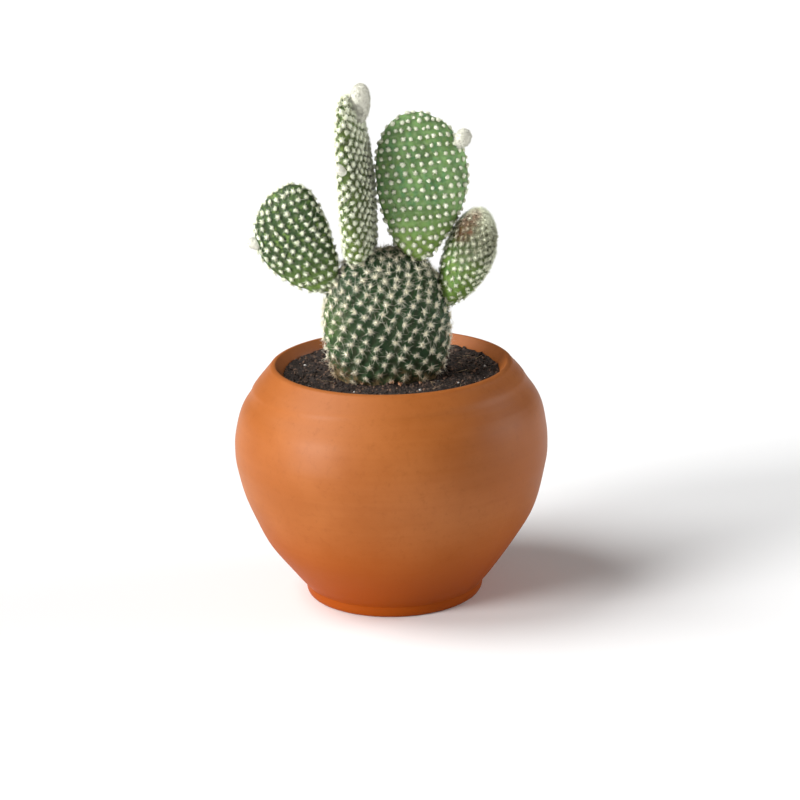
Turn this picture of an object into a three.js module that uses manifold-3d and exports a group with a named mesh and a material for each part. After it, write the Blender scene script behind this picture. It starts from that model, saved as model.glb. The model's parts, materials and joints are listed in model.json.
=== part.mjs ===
// A potted paddle cactus: one plant of five flat pads and four woolly buds, rooted in soil
// in a thrown terracotta pot. Millimetres, +Z up, origin where the pot's axis meets the surface.

import * as THREE from 'three';
import { ConvexHull } from 'three/addons/math/ConvexHull.js';
import { mergeVertices } from 'three/addons/utils/BufferGeometryUtils.js';
import Module from 'manifold-3d';

const wasm = await Module();
wasm.setup();

// Pot
const BELLY_RADIUS = 70;
const BELLY_HEIGHT = 69;
const FOOT_RADIUS = 38.2;
const FOOT_RING_WIDTH = 8;
const FOOT_RECESS = 1.5;
const FOOT_BEAD = { radius: 39.9, height: 2.6 };
const FOOT_GROOVE = { radius: 39.3, height: 5.3 };
const DRAIN_RADIUS = 6;
const LIP_RADIUS = 51.7;
const LIP_HEIGHT = 106.9;
const LIP_ROUND = 3.2;
const LIP_EDGE = 0.6;
const THROAT = { radius: 48.2, height: 102.3 };
const WALL = 6.4;
const FLOOR_THICKNESS = 8;
const POT_SIDES = 44;
const WALL_STEPS = 11;

// The thrown wall above the groove of its foot: radius as a share of the belly's, and height
const WALL_PROFILE = [
  [0.643, 12],
  [0.799, 28],
  [0.934, 46],
  [0.99, 61],
  [1, BELLY_HEIGHT],
  [0.989, 77],
  [0.944, 88],
  [0.854, 98],
];

// Soil
const SOIL_HEIGHT = 102;
const SOIL_RELIEF = 0.5;
const SOIL_TILT = 0.7;
const SOIL_SIDES = 32;
const SOIL_RINGS = 6;

// Clearance between neighbours, and how far a pad keeps its tufts from what grows on it
const CLEARANCE = 0.3;
const TUFT_MARGIN = 1.5;

// Cross-section of every pad: between an ellipse (2) and a rounded box (4)
const SECTION_POWER = 2.3;
const GOLDEN_SHARE = (Math.sqrt(5) - 1) / 2;

// Small steps for slopes on a pad: a share of its length, and an angle round it in radians
const ALONG_STEP = 0.002;
const ANGLE_STEP = 0.01;

// Each pad stands on its foot and reaches to its tip. The heights of its widest and thickest
// places are shares of its length, turn is in degrees about its own axis, and bend bows it
// along its width and its thickness. Areoles are the cushions that carry the bristles.
const PADS = {
  main_pad: {
    foot: [-0.7, -8, 83.7], tip: [-2.3, -8, 160], halfWidth: 27.7, halfThickness: 14,
    widestAt: 0.556, thickestAt: 0.48, bluntness: 2.2, turn: 8, bend: [1, 0],
    areoles: 190, tuftWidth: 2.6, tuftHeight: 2.2, color: 0x2f5a41,
  },
  left_pad: {
    foot: [-25.3, -10.5, 142], tip: [-42.1, -15, 190.3], halfWidth: 17.4, halfThickness: 7.5,
    widestAt: 0.547, thickestAt: 0.46, bluntness: 2.05, turn: -22, bend: [-7, 0],
    areoles: 125, tuftWidth: 2.2, tuftHeight: 2, color: 0x3f6e37,
  },
  tall_pad: {
    foot: [-11.6, -8.5, 154], tip: [-16, -7, 226.5], halfWidth: 17.5, halfThickness: 6,
    widestAt: 0.48, thickestAt: 0.3, bluntness: 2.55, turn: 76, bend: [0, -1.2],
    areoles: 175, tuftWidth: 2.2, tuftHeight: 2, color: 0x5d8240,
  },
  large_pad: {
    foot: [12.3, -6, 152], tip: [13.9, 2, 218.1], halfWidth: 20.6, halfThickness: 8,
    widestAt: 0.603, thickestAt: 0.44, bluntness: 1.95, turn: 14, bend: [3.1, 0],
    areoles: 175, tuftWidth: 2.1, tuftHeight: 1.9, color: 0x46824c,
  },
  right_pad: {
    foot: [24, -4, 132], tip: [42.9, -5, 174.9], halfWidth: 12.7, halfThickness: 7.5,
    widestAt: 0.62, thickestAt: 0.46, bluntness: 1.85, turn: -52, bend: [1.7, 0],
    areoles: 120, tuftWidth: 2, tuftHeight: 1.9, color: 0x6d9a3c,
  },
};

// Buds have the pads' form: woolly young pads that have just broken out of a pad's rim
const BUDS = {
  tall_pad_tip_bud: {
    parent: 'tall_pad', foot: [-9.3, -7, 215], tip: [-9.5, -7, 231.6],
    halfWidth: 3.8, halfThickness: 3.7, widestAt: 0.52, thickestAt: 0.5, areoles: 34,
  },
  tall_pad_side_bud: {
    parent: 'tall_pad', foot: [-15, -20, 194.5], tip: [-19.4, -25.6, 200.6],
    halfWidth: 2.5, halfThickness: 2.4, widestAt: 0.55, thickestAt: 0.55, areoles: 14,
  },
  large_pad_bud: {
    parent: 'large_pad', foot: [31.8, 0, 201.4], tip: [35.9, 0, 210],
    halfWidth: 3.1, halfThickness: 3, widestAt: 0.55, thickestAt: 0.55, areoles: 24,
  },
  left_pad_bud: {
    parent: 'left_pad', foot: [-53.6, -9, 161.8], tip: [-59.8, -6.6, 164.4],
    halfWidth: 2.8, halfThickness: 2.7, widestAt: 0.55, thickestAt: 0.55, areoles: 14,
  },
};
const BUD_BLUNTNESS = 2.1;
const BUD_TUFT_WIDTH = 1;
const BUD_TUFT_HEIGHT = 0.7;
const BUD_COLOR = 0xe6e0d0;

// A pad's surface as a formula, in its own frame: foot at the origin, +Z towards the tip,
// width along X and thickness along Y
class PadSurface {
  constructor(pad) {
    this.pad = pad;
    this.foot = new THREE.Vector3(...pad.foot);
    const rise = new THREE.Vector3(...pad.tip).sub(this.foot);
    this.length = rise.length();
    const lean = new THREE.Quaternion().setFromUnitVectors(new THREE.Vector3(0, 0, 1), rise.normalize());
    const spin = new THREE.Quaternion().setFromAxisAngle(
      new THREE.Vector3(0, 0, 1),
      THREE.MathUtils.degToRad(pad.turn ?? 0),
    );
    this.quaternion = lean.multiply(spin);
    this.matrix = new THREE.Matrix4().compose(this.foot, this.quaternion, new THREE.Vector3(1, 1, 1));
    this.inverse = this.matrix.clone().invert();
    this.heightTable = this.tabulate((along) => this.skinAt(along));
    this.turnTable = this.tabulate((share) => this.sectionSpeed(2 * Math.PI * share));
  }

  // How full the outline is at a share of the length: 0 at both ends and 1 at its widest
  fullness(along, widestAt) {
    const power = Math.log(0.5) / Math.log(widestAt);
    const span = Math.abs(2 * Math.pow(THREE.MathUtils.clamp(along, 0, 1), power) - 1);
    return Math.pow(Math.max(0, 1 - Math.pow(span, this.pad.bluntness)), 1 / this.pad.bluntness);
  }

  halfSizes(along, grow = 0) {
    const { halfWidth, halfThickness, widestAt, thickestAt } = this.pad;
    return [
      (halfWidth + grow) * this.fullness(along, widestAt),
      (halfThickness + grow) * this.fullness(along, thickestAt),
    ];
  }

  bow(along) {
    const arch = 4 * along * (1 - along);
    const [across, through] = this.pad.bend ?? [0, 0];
    return [across * arch, through * arch];
  }

  pointAt(along, angle, grow = 0) {
    const [halfWidth, halfThickness] = this.halfSizes(along, grow);
    const [across, through] = this.bow(along);
    const corner = 2 / SECTION_POWER;
    const cosine = Math.cos(angle);
    const sine = Math.sin(angle);
    return new THREE.Vector3(
      across + halfWidth * Math.sign(cosine) * Math.pow(Math.abs(cosine), corner),
      through + halfThickness * Math.sign(sine) * Math.pow(Math.abs(sine), corner),
      along * (this.length + 2 * grow) - grow,
    );
  }

  // How the surface moves for each unit of along and of angle
  slopesAt(along, angle) {
    const low = THREE.MathUtils.clamp(along - ALONG_STEP, ALONG_STEP, 1 - 3 * ALONG_STEP);
    const lengthwise = this.pointAt(low + 2 * ALONG_STEP, angle).sub(this.pointAt(low, angle));
    const before = this.pointAt(along, angle - ANGLE_STEP);
    const crosswise = this.pointAt(along, angle + ANGLE_STEP).sub(before);
    return [lengthwise.divideScalar(2 * ALONG_STEP), crosswise.divideScalar(2 * ANGLE_STEP)];
  }

  normalAt(along, angle) {
    const [lengthwise, crosswise] = this.slopesAt(along, angle);
    return crosswise.cross(lengthwise).normalize();
  }

  // Skin for each step along the pad, up to a factor: girth times slant length
  skinAt(along) {
    const mean = (share) => this.halfSizes(share).reduce((sum, size) => sum + size / 2, 0);
    const widening = (mean(along + ALONG_STEP) - mean(along - ALONG_STEP)) / (2 * ALONG_STEP);
    return mean(along) * Math.hypot(this.length, widening);
  }

  sectionSpeed(angle) {
    return this.slopesAt(0.5, angle)[1].length();
  }

  // Running total of a density over 0 to 1, so that equal shares get equal amounts of skin
  tabulate(density) {
    const steps = 256;
    const totals = [0];
    for (let i = 0; i < steps; i += 1) {
      totals.push(totals[i] + density((i + 0.5) / steps));
    }
    return totals.map((total) => total / totals[steps]);
  }

  lookUp(table, share) {
    const steps = table.length - 1;
    const next = Math.max(1, table.findIndex((total) => total >= share));
    const within = (share - table[next - 1]) / (table[next] - table[next - 1]);
    return (next - 1 + within) / steps;
  }

  // Areole places by the golden angle: each a fixed share of the girth round from the last
  areole(index, count) {
    const share = (index + 0.5) / count;
    const around = (index * GOLDEN_SHARE) % 1;
    return {
      along: this.lookUp(this.heightTable, share),
      angle: 2 * Math.PI * this.lookUp(this.turnTable, around),
    };
  }

  // Whether a point of the world lies within the pad grown by a margin
  holds(point, margin) {
    const local = point.clone().applyMatrix4(this.inverse);
    const along = (local.z + margin) / (this.length + 2 * margin);
    if (along <= 0 || along >= 1) return false;
    const [halfWidth, halfThickness] = this.halfSizes(along, margin);
    const [across, through] = this.bow(along);
    const x = Math.abs(local.x - across) / Math.max(halfWidth, 1e-6);
    const y = Math.abs(local.y - through) / Math.max(halfThickness, 1e-6);
    return Math.pow(x, SECTION_POWER) + Math.pow(y, SECTION_POWER) < 1;
  }
}

// Turns surface points into a closed skin. The triangles are found on a long ellipsoid, on
// which every point is a corner of the hull, and are then carried over to the pad.
function skinOver(surface, places) {
  const waist = (surface.pad.halfWidth + surface.pad.halfThickness) / 2;
  const corners = places.map(({ along, angle }) => {
    const height = 2 * THREE.MathUtils.clamp(along, 0, 1) - 1;
    const radius = waist * Math.sqrt(Math.max(0, 1 - height * height));
    return new THREE.Vector3(
      radius * Math.cos(angle),
      radius * Math.sin(angle),
      (height * surface.length) / 2,
    );
  });
  const indexOf = new Map(corners.map((corner, index) => [corner, index]));
  const hull = new ConvexHull().setFromPoints(corners);
  const indices = [];
  for (const face of hull.faces) {
    let edge = face.edge;
    do {
      indices.push(indexOf.get(edge.head().point));
      edge = edge.next;
    } while (edge !== face.edge);
  }
  const geometry = new THREE.BufferGeometry();
  const positions = places.flatMap(({ point }) => point.toArray());
  geometry.setAttribute('position', new THREE.Float32BufferAttribute(positions, 3));
  geometry.setIndex(indices);
  return geometry;
}

// A raised tuft: four skin points round an areole and one above it, at the bristles' tips.
// Near a pad's ends the four are drawn in, so that they stay on the skin round the areole.
function tuftPlaces(surface, { along, angle }, width, height) {
  const [lengthwise, crosswise] = surface.slopesAt(along, angle);
  const alongLimit = 0.6 * Math.min(along, 1 - along);
  const angleLimit = 0.8;
  const stepAlong = Math.min(width / 2 / lengthwise.length(), alongLimit);
  const stepAround = Math.min(width / 2 / crosswise.length(), angleLimit);
  const places = [[1, 0], [0, 1], [-1, 0], [0, -1]].map(([around, up]) => {
    const corner = { along: along + stepAlong * up, angle: angle + stepAround * around };
    return { ...corner, point: surface.pointAt(corner.along, corner.angle) };
  });
  const top = surface.pointAt(along, angle).addScaledVector(surface.normalAt(along, angle), height);
  return [...places, { along, angle, point: top }];
}

// A pad's skin with a tuft on every areole that is above the soil and clear of its neighbours
function padGeometry(surface, isBare) {
  const { areoles, tuftWidth, tuftHeight } = surface.pad;
  const places = [0, 1].map((end) => ({ along: end, angle: 0, point: surface.pointAt(end, 0) }));
  for (let index = 0; index < areoles; index += 1) {
    const place = surface.areole(index, areoles);
    const point = surface.pointAt(place.along, place.angle);
    if (isBare(point.clone().applyMatrix4(surface.matrix))) {
      places.push({ ...place, point });
    } else {
      places.push(...tuftPlaces(surface, place, tuftWidth, tuftHeight));
    }
  }
  return skinOver(surface, places);
}

// The pad's plain form, grown all round, for cutting what has to clear it
function grownGeometry(surface, grow) {
  const rings = 20;
  const columns = 32;
  const places = [0, 1].map((end) => ({ along: end, angle: 0, point: surface.pointAt(end, 0, grow) }));
  for (let ring = 1; ring < rings; ring += 1) {
    const along = (1 - Math.cos((Math.PI * ring) / rings)) / 2;
    for (let column = 0; column < columns; column += 1) {
      const angle = (2 * Math.PI * (column + (ring % 2) / 2)) / columns;
      places.push({ along, angle, point: surface.pointAt(along, angle, grow) });
    }
  }
  return skinOver(surface, places);
}

function solidOf(geometry) {
  const plain = geometry.clone();
  plain.deleteAttribute('normal');
  plain.deleteAttribute('uv');
  const merged = mergeVertices(plain, 1e-4);
  const mesh = new wasm.Mesh({
    numProp: 3,
    vertProperties: merged.getAttribute('position').array,
    triVerts: new Uint32Array(merged.getIndex().array),
  });
  return new wasm.Manifold(mesh);
}

function geometryOf(solid) {
  const { vertProperties, triVerts } = solid.getMesh();
  const geometry = new THREE.BufferGeometry();
  geometry.setAttribute('position', new THREE.BufferAttribute(new Float32Array(vertProperties), 3));
  geometry.setIndex(new THREE.BufferAttribute(new Uint32Array(triVerts), 1));
  return geometry;
}

// The largest piece of a cut, so that no loose scrap is left
function largestPiece(solid) {
  const pieces = solid.decompose();
  return pieces.reduce((best, piece) => (piece.volume() > best.volume() ? piece : best));
}

// Cuts a piece, given in its own frame, clear of a pad that it touches
function clearOf(geometry, frame, neighbour) {
  const cutter = grownGeometry(neighbour, CLEARANCE);
  cutter.applyMatrix4(frame.clone().invert().multiply(neighbour.matrix));
  return geometryOf(largestPiece(solidOf(geometry).subtract(solidOf(cutter))));
}

function finish(color, roughness) {
  return new THREE.MeshStandardMaterial({ color, roughness, metalness: 0 });
}

function upright(points, sides) {
  return new THREE.LatheGeometry(points, sides).rotateX(Math.PI / 2);
}

// The outside of the thrown wall, from the groove above its foot up to the lip
function wallCurve() {
  const foot = new THREE.Vector2(FOOT_GROOVE.radius, FOOT_GROOVE.height);
  const neck = new THREE.Vector2(LIP_RADIUS + LIP_ROUND + 0.4, LIP_HEIGHT - LIP_ROUND - 0.4);
  const wall = WALL_PROFILE.map(([share, height]) => new THREE.Vector2(share * BELLY_RADIUS, height));
  return new THREE.SplineCurve([foot, ...wall, neck]);
}

// The lip: round outside, with a crisp edge on top and an inside that slants down to the throat
function lip() {
  const steps = 3;
  const points = [];
  for (let step = 0; step <= steps; step += 1) {
    const angle = (Math.PI / 2) * (step / steps);
    const radius = LIP_RADIUS + LIP_ROUND * Math.cos(angle);
    points.push(new THREE.Vector2(radius, LIP_HEIGHT - LIP_ROUND + LIP_ROUND * Math.sin(angle)));
  }
  points.push(new THREE.Vector2(LIP_RADIUS - LIP_EDGE, LIP_HEIGHT - LIP_EDGE / 2));
  points.push(new THREE.Vector2(THROAT.radius, THROAT.height));
  return points;
}

// The inside, a given depth below the outside and parallel to it, from the top down to the floor
function insideAt(depth) {
  const curve = wallCurve();
  const points = [];
  for (let step = WALL_STEPS - 1; step > 0; step -= 1) {
    const tangent = curve.getTangent(step / WALL_STEPS);
    const outward = new THREE.Vector2(tangent.y, -tangent.x);
    points.push(curve.getPoint(step / WALL_STEPS).addScaledVector(outward, -depth));
  }
  const floor = FLOOR_THICKNESS + depth - WALL;
  return [...points, new THREE.Vector2(FOOT_GROOVE.radius - depth, floor)];
}

function pot() {
  const ringInside = FOOT_RADIUS - FOOT_RING_WIDTH;
  const profile = [
    new THREE.Vector2(DRAIN_RADIUS, FOOT_RECESS),
    new THREE.Vector2(ringInside - FOOT_RECESS, FOOT_RECESS),
    new THREE.Vector2(ringInside, 0),
    new THREE.Vector2(FOOT_RADIUS, 0),
    new THREE.Vector2(FOOT_BEAD.radius, FOOT_BEAD.height),
    ...wallCurve().getPoints(WALL_STEPS).slice(0, -1),
    ...lip(),
    ...insideAt(WALL),
    new THREE.Vector2(DRAIN_RADIUS, FLOOR_THICKNESS),
    new THREE.Vector2(DRAIN_RADIUS, FOOT_RECESS),
  ];
  return new THREE.Mesh(upright(profile, POT_SIDES), finish(0xc0703f, 0.8));
}

// Low lumps of the soil's top, and its slight fall from the back left to the front right
function soilRise(x, y) {
  const lumps = Math.sin(0.31 * x + 1.3) * Math.cos(0.27 * y) + 0.6 * Math.sin(0.53 * y - 0.41 * x);
  const fall = (y - x) / (2 * LIP_RADIUS);
  return SOIL_RELIEF * lumps + SOIL_TILT * fall;
}

// The soil fills the pot's inside, a clearance away from its wall, with a hole for the stump
function soil(stump) {
  const mouth = THROAT.radius - 3 * CLEARANCE;
  const side = insideAt(WALL + 2 * CLEARANCE).reverse();
  const top = [];
  for (let ring = 0; ring <= SOIL_RINGS; ring += 1) {
    top.push(new THREE.Vector2(mouth * (1 - ring / SOIL_RINGS), SOIL_HEIGHT));
  }
  const profile = [new THREE.Vector2(0, side[0].y), ...side, ...top];
  const geometry = upright(profile, SOIL_SIDES);
  const position = geometry.getAttribute('position');
  for (let index = 0; index < position.count; index += 1) {
    if (position.getZ(index) > SOIL_HEIGHT - CLEARANCE) {
      position.setZ(index, SOIL_HEIGHT + soilRise(position.getX(index), position.getY(index)));
    }
  }
  return new THREE.Mesh(clearOf(geometry, new THREE.Matrix4(), stump), finish(0x2b2320, 0.95));
}

function surfacesOf(table, defaults = {}) {
  const entries = Object.entries(table);
  return new Map(entries.map(([name, pad]) => [name, new PadSurface({ ...defaults, ...pad })]));
}

function padMesh(surface, geometry) {
  const mesh = new THREE.Mesh(geometry, finish(surface.pad.color, 0.7));
  mesh.position.copy(surface.foot);
  mesh.quaternion.copy(surface.quaternion);
  return mesh;
}

// A pad keeps its tufts off the places where another pad or a bud grows out of it
function isBare(point, surface, others) {
  if (point.z < SOIL_HEIGHT + SOIL_RELIEF + TUFT_MARGIN) return true;
  const margin = surface.pad.tuftHeight + TUFT_MARGIN;
  return others.some((other) => other !== surface && other.holds(point, margin));
}

function build() {
  const group = new THREE.Group();
  const add = (name, mesh) => {
    mesh.name = name;
    group.add(mesh);
  };
  const pads = surfacesOf(PADS);
  const buds = surfacesOf(BUDS, {
    bluntness: BUD_BLUNTNESS,
    tuftWidth: BUD_TUFT_WIDTH,
    tuftHeight: BUD_TUFT_HEIGHT,
    color: BUD_COLOR,
  });
  const surfaces = [...pads.values(), ...buds.values()];
  const mainPad = pads.get('main_pad');

  add('pot', pot());
  add('soil', soil(mainPad));
  for (const [name, surface] of pads) {
    const geometry = padGeometry(surface, (point) => isBare(point, surface, surfaces));
    const isUpper = surface !== mainPad;
    add(name, padMesh(surface, isUpper ? clearOf(geometry, surface.matrix, mainPad) : geometry));
  }
  for (const [name, surface] of buds) {
    const geometry = padGeometry(surface, (point) => isBare(point, surface, surfaces));
    const parent = pads.get(surface.pad.parent);
    add(name, padMesh(surface, clearOf(geometry, surface.matrix, parent)));
  }
  return group;
}

export default build();
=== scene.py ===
"""Looks of a potted paddle cactus: thrown clay pot, soil, pads with bristle tufts and woolly buds."""

import json
import math
from dataclasses import dataclass

import bpy
import numpy as np
from bpy.props import FloatProperty, FloatVectorProperty, IntProperty, PointerProperty
from mathutils import Matrix, Quaternion, Vector

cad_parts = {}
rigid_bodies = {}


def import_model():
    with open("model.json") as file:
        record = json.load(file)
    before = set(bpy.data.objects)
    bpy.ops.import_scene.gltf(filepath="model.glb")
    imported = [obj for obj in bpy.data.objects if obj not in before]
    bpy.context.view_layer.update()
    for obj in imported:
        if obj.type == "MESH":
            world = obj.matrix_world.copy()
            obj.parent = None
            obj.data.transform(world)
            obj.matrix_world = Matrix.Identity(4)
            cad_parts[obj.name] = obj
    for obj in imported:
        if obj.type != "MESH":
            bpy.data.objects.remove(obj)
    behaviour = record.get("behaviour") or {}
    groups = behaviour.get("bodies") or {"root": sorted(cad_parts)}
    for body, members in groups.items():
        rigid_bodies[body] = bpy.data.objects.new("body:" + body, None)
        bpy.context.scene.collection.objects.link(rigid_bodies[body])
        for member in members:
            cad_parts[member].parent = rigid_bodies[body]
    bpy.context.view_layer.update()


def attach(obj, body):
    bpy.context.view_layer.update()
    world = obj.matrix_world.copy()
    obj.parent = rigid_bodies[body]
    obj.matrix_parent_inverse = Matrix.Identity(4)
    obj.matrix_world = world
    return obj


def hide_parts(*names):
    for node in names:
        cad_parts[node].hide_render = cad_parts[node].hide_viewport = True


bl_info = {
    "name": "Potted Paddle Cactus",
    "version": (1, 0, 0),
    "blender": (4, 5, 0),
    "location": "3D View > Sidebar > Cactus",
    "description": "Makes the pot, soil, pads, bristle tufts, buds and stage of a potted paddle cactus",
    "category": "Add Mesh",
}

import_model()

MM = 0.001
BODY = "root"
GOLDEN_SHARE = (math.sqrt(5) - 1) / 2

# Pot, in millimetres: radius and height along the foot, and shares of the belly's radius up the wall
BELLY_RADIUS = 70.0
FOOT_RADIUS = 38.2
FOOT_RING_WIDTH = 8.0
FOOT_RECESS = 1.5
FOOT_PROFILE = ((38.2, 0.0), (39.4, 0.8), (40.0, 2.4), (40.0, 3.8))
FOOT_GROOVE = (40.0, 5.0)
WALL_PROFILE = (
    (0.652, 12.0), (0.806, 28.0), (0.934, 46.0), (0.99, 61.0),
    (1.0, 69.0), (0.989, 77.0), (0.944, 88.0), (0.854, 98.0),
)
WALL = 6.4
FLOOR_THICKNESS = 8.0
DRAIN_RADIUS = 6.0

# The inside follows the outside from a little over the floor to a little under the throat
OVER_FLOOR = 2.0
UNDER_THROAT = 4.0

# Lip: a round, a crisp edge and a slant down to the throat. Angles are in degrees up from level
LIP_RADIUS = 51.7
LIP_HEIGHT = 106.9
LIP_ROUND = 3.2
EDGE_ROUND = 0.8
NECK_ANGLE = 36.0
NECK_SINK = 0.12
LIP_START = 48.0
LIP_TOP = 85.0
LIP_END = 144.0
THROAT = (48.2, 102.3)
BELOW_THROAT = (0.6, -2.4)

# Throwing lines: pitch, way round the pot and share of each, and how deep they are on wall and shoulder
THROWING_LINES = ((2.3, 1, 0.5), (1.6, 1, 0.4), (4.3, -1, 0.5))
LINES_ON_WALL = 0.12
LINES_ON_SHOULDER = 1.6
SHOULDER_REACH = 6.0

# Steps on the shoulder: how far under its middle each lies, its depth and its softness
STEP_HEIGHT = 97.0
STEP_TILT = (1.8, -1.6)
STEPS = ((0.0, 0.2, 0.8), (2.4, 0.1, 0.7))
STEP_REACH = 5.0

# Where the hand-thrown wall swells: height, reach up and down, amount in millimetres, heading in degrees
SWELLS = ((90, 14, 0.7, 0), (89, 13, 0.5, 180), (39, 9, 1.0, 0), (27, 10, 1.1, 180))
WOBBLE = 0.12

# The mouth sits a little to one side: how far, from which height the pot leans and over what height
MOUTH_SHIFT = 0.9
LEAN_START = 70.0
LEAN_RISE = 30.0

# Soil and what lies on it, in millimetres
SOIL_HEIGHT = 102.0
SOIL_RELIEF = 0.5
SOIL_TILT = 0.7
SOIL_GAP = 0.6
SOIL_MOUTH = THROAT[0] - 0.2
CRUMB_SIZES = (0.25, 0.85)
GRAIN_SIZES = (0.3, 0.75)
FIBRE_LENGTHS = (2.5, 9)
FIBRE_WIDTHS = (0.18, 0.36)
FIBRE_LIFT = 0.45
SOIL_SEED = 31

# Dry flakes at the main pad's foot: place, size and tone of each. A dark one, with a tone under
# TUMBLED_TONE, lies turned at random
FLAKES = (
    (1.0, -22.6, 3.6, 0.7), (4.6, -23.6, 3.4, 0.2), (-12.0, -21.4, 2.2, 0.5), (13.5, -19.8, 2.4, 0.4),
)
FLAKE_GRID = (7, 9)
FLAKE_THICKNESS = 0.18
FLAKE_SEED = 41
TUMBLED_TONE = 0.3

# Cross-section of every pad: between an ellipse (2) and a rounded box (4)
SECTION_POWER = 2.3

# Pad skin: reach of the mound under a tuft as a share of the tufts' spacing, its dark halo's share
# of that (a dark rim, partly painted shade), how far mounds add up, and the height and the length
# in millimetres of low waves
MOUND_REACH = 0.4
HALO_SHARE = 0.75
MOUND_LIMIT = 1.4
SKIN_WAVES = (0.12, 9)

# Tufts, in millimetres and degrees: how far they keep from the soil and from other pads, how much
# their size varies, how far each kind of bristle leans out at most, and how unruly all of them are.
# Hairs are the soft ones on the buds
TUFT_GAP = 0.3
TUFT_SIZES = (0.8, 1.16)
BRISTLE_SPREAD = 84
SPIKE_SPREAD = 86
WHISKER_SPREAD = 92
WHISKER_WIDTH = 0.13
HAIR_SPREAD = 72
HAIR_WIDTH = 0.1
HAIR_LENGTHS = (0.5, 1.4)
HAIRS = 24
UNRULY = 0.16

# Fineness: rings and points round of the meshes, rows of the pads' tables, steps for their slopes,
# points worked on at a time, places tried for each areole, and the share of a pad's length that
# stays free at its ends
POT_COLUMNS = 208
FOOT_STEPS = 5
WALL_STEPS = 13
INSIDE_STEPS = 4
EASE_RINGS = (8, 6)
SOIL_RINGS = 84
SOIL_COLUMNS = 200
SKIN_GRID = (100, 120)
BUD_GRID = (20, 28)
TABLE_ROWS = 512
ALONG_STEP = 0.002
ANGLE_STEP = 0.01
BATCH = 4096
TRIED_PLACES = 50
PAD_END = 0.003

# Coloured spots on the pads: the middle and the reach of each, in millimetres
SPOTS = {
    # Painted light: lighter, yellower skin on the main pad's lit left side
    "painted lit side": ((-30, -17, 130), 19),
    "corky edge": ((-25, -15, 105), 12),
    "corky tufts": ((-25, -15, 107), 13),
    "scar": ((-18, -22, 107), 4),
    "crown": ((5, -10, 163), 12),
    # Where painted shade darkens the gaps between the tall pad's tufts on its shaded side
    "lower inner side": ((-1, -14, 172), 19),
    "upper inner side": ((-4, -14, 196), 19),
    # Painted shade on the young pad's shaded half, over its dull green
    "hazy shade": ((47, -8, 163), 24),
    "down": ((44, -8, 175), 15),
    "pale tip": ((45, -9, 186), 14),
    "upper rust": ((35, -10, 177), 11),
    "lower rust": ((30.5, -10, 170), 11),
    "upper rusty tufts": ((35, -10, 177), 10),
    "lower rusty tufts": ((30.5, -10, 170), 10),
    "dark blot": ((28, -11, 165), 9),
    # Greyer bristles in the young pad's shaded middle, partly painted shade
    "grey shaded middle": ((41, -12, 163), 15),
}

# Stage: the floor's half width in millimetres, the camera in metres and degrees
FLOOR_HALF_WIDTH = 6000.0
CAMERA_PLACE = (0.004377, -1.05061, 0.4096)
CAMERA_PITCH = 16.99
CAMERA_ROLL = -1.348
SENSOR_WIDTH = 36.0

# Lamps: share of the common light width, then degrees left of the front and degrees up
LAMPS = {"key": (1.0, 60, 16), "top": (1.6, 88, 50), "rim": (1.6, -95, 14)}


def srgb(red, green, blue):
    """Screen colour values from 0 to 255 as the linear colour that shaders use."""
    shares = (red / 255, green / 255, blue / 255)
    return tuple(s / 12.92 if s <= 0.04045 else ((s + 0.055) / 1.055) ** 2.4 for s in shares)


def opaque(color):
    return (*color[:3], 1.0)


def scaled(values, share):
    return tuple(share * value for value in values)


@dataclass
class PadForm:
    """A pad's or a bud's form in millimetres, close to its solid, and how its tufts are set.

    The heights of the widest and the thickest place are shares of the length, turn is in degrees
    about the pad's own axis, and bend bows it along its width and its thickness. Divergence is the
    share of a turn between one areole and the next, evening the rounds that even them out, and
    crowding and fullness draw tufts together and make them larger near a tip, an edge or a foot.
    """

    foot: tuple
    tip: tuple
    half_width: float
    half_thickness: float
    widest_at: float
    thickest_at: float
    bluntness: float = 2.1
    turn: float = 0.0
    bend: tuple = (0.0, 0.0)
    areoles: int = 40
    divergence: float = GOLDEN_SHARE
    tip_crowding: float = 0.0
    edge_crowding: float = 0.0
    evening: int = 3
    jitter: float = 0.1
    cushion: float = 0.7
    tip_fullness: float = 0.0
    foot_fullness: float = 0.0
    bristles: int = 34
    bristle_length: float = 1.3
    spikes: int = 22
    spike_length: float = 1.7
    spike_width: float = 0.26
    bristle_width: float = 0.24
    tubercle: float = 0.4
    seed: int = 1
    parent: str = ""


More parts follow.
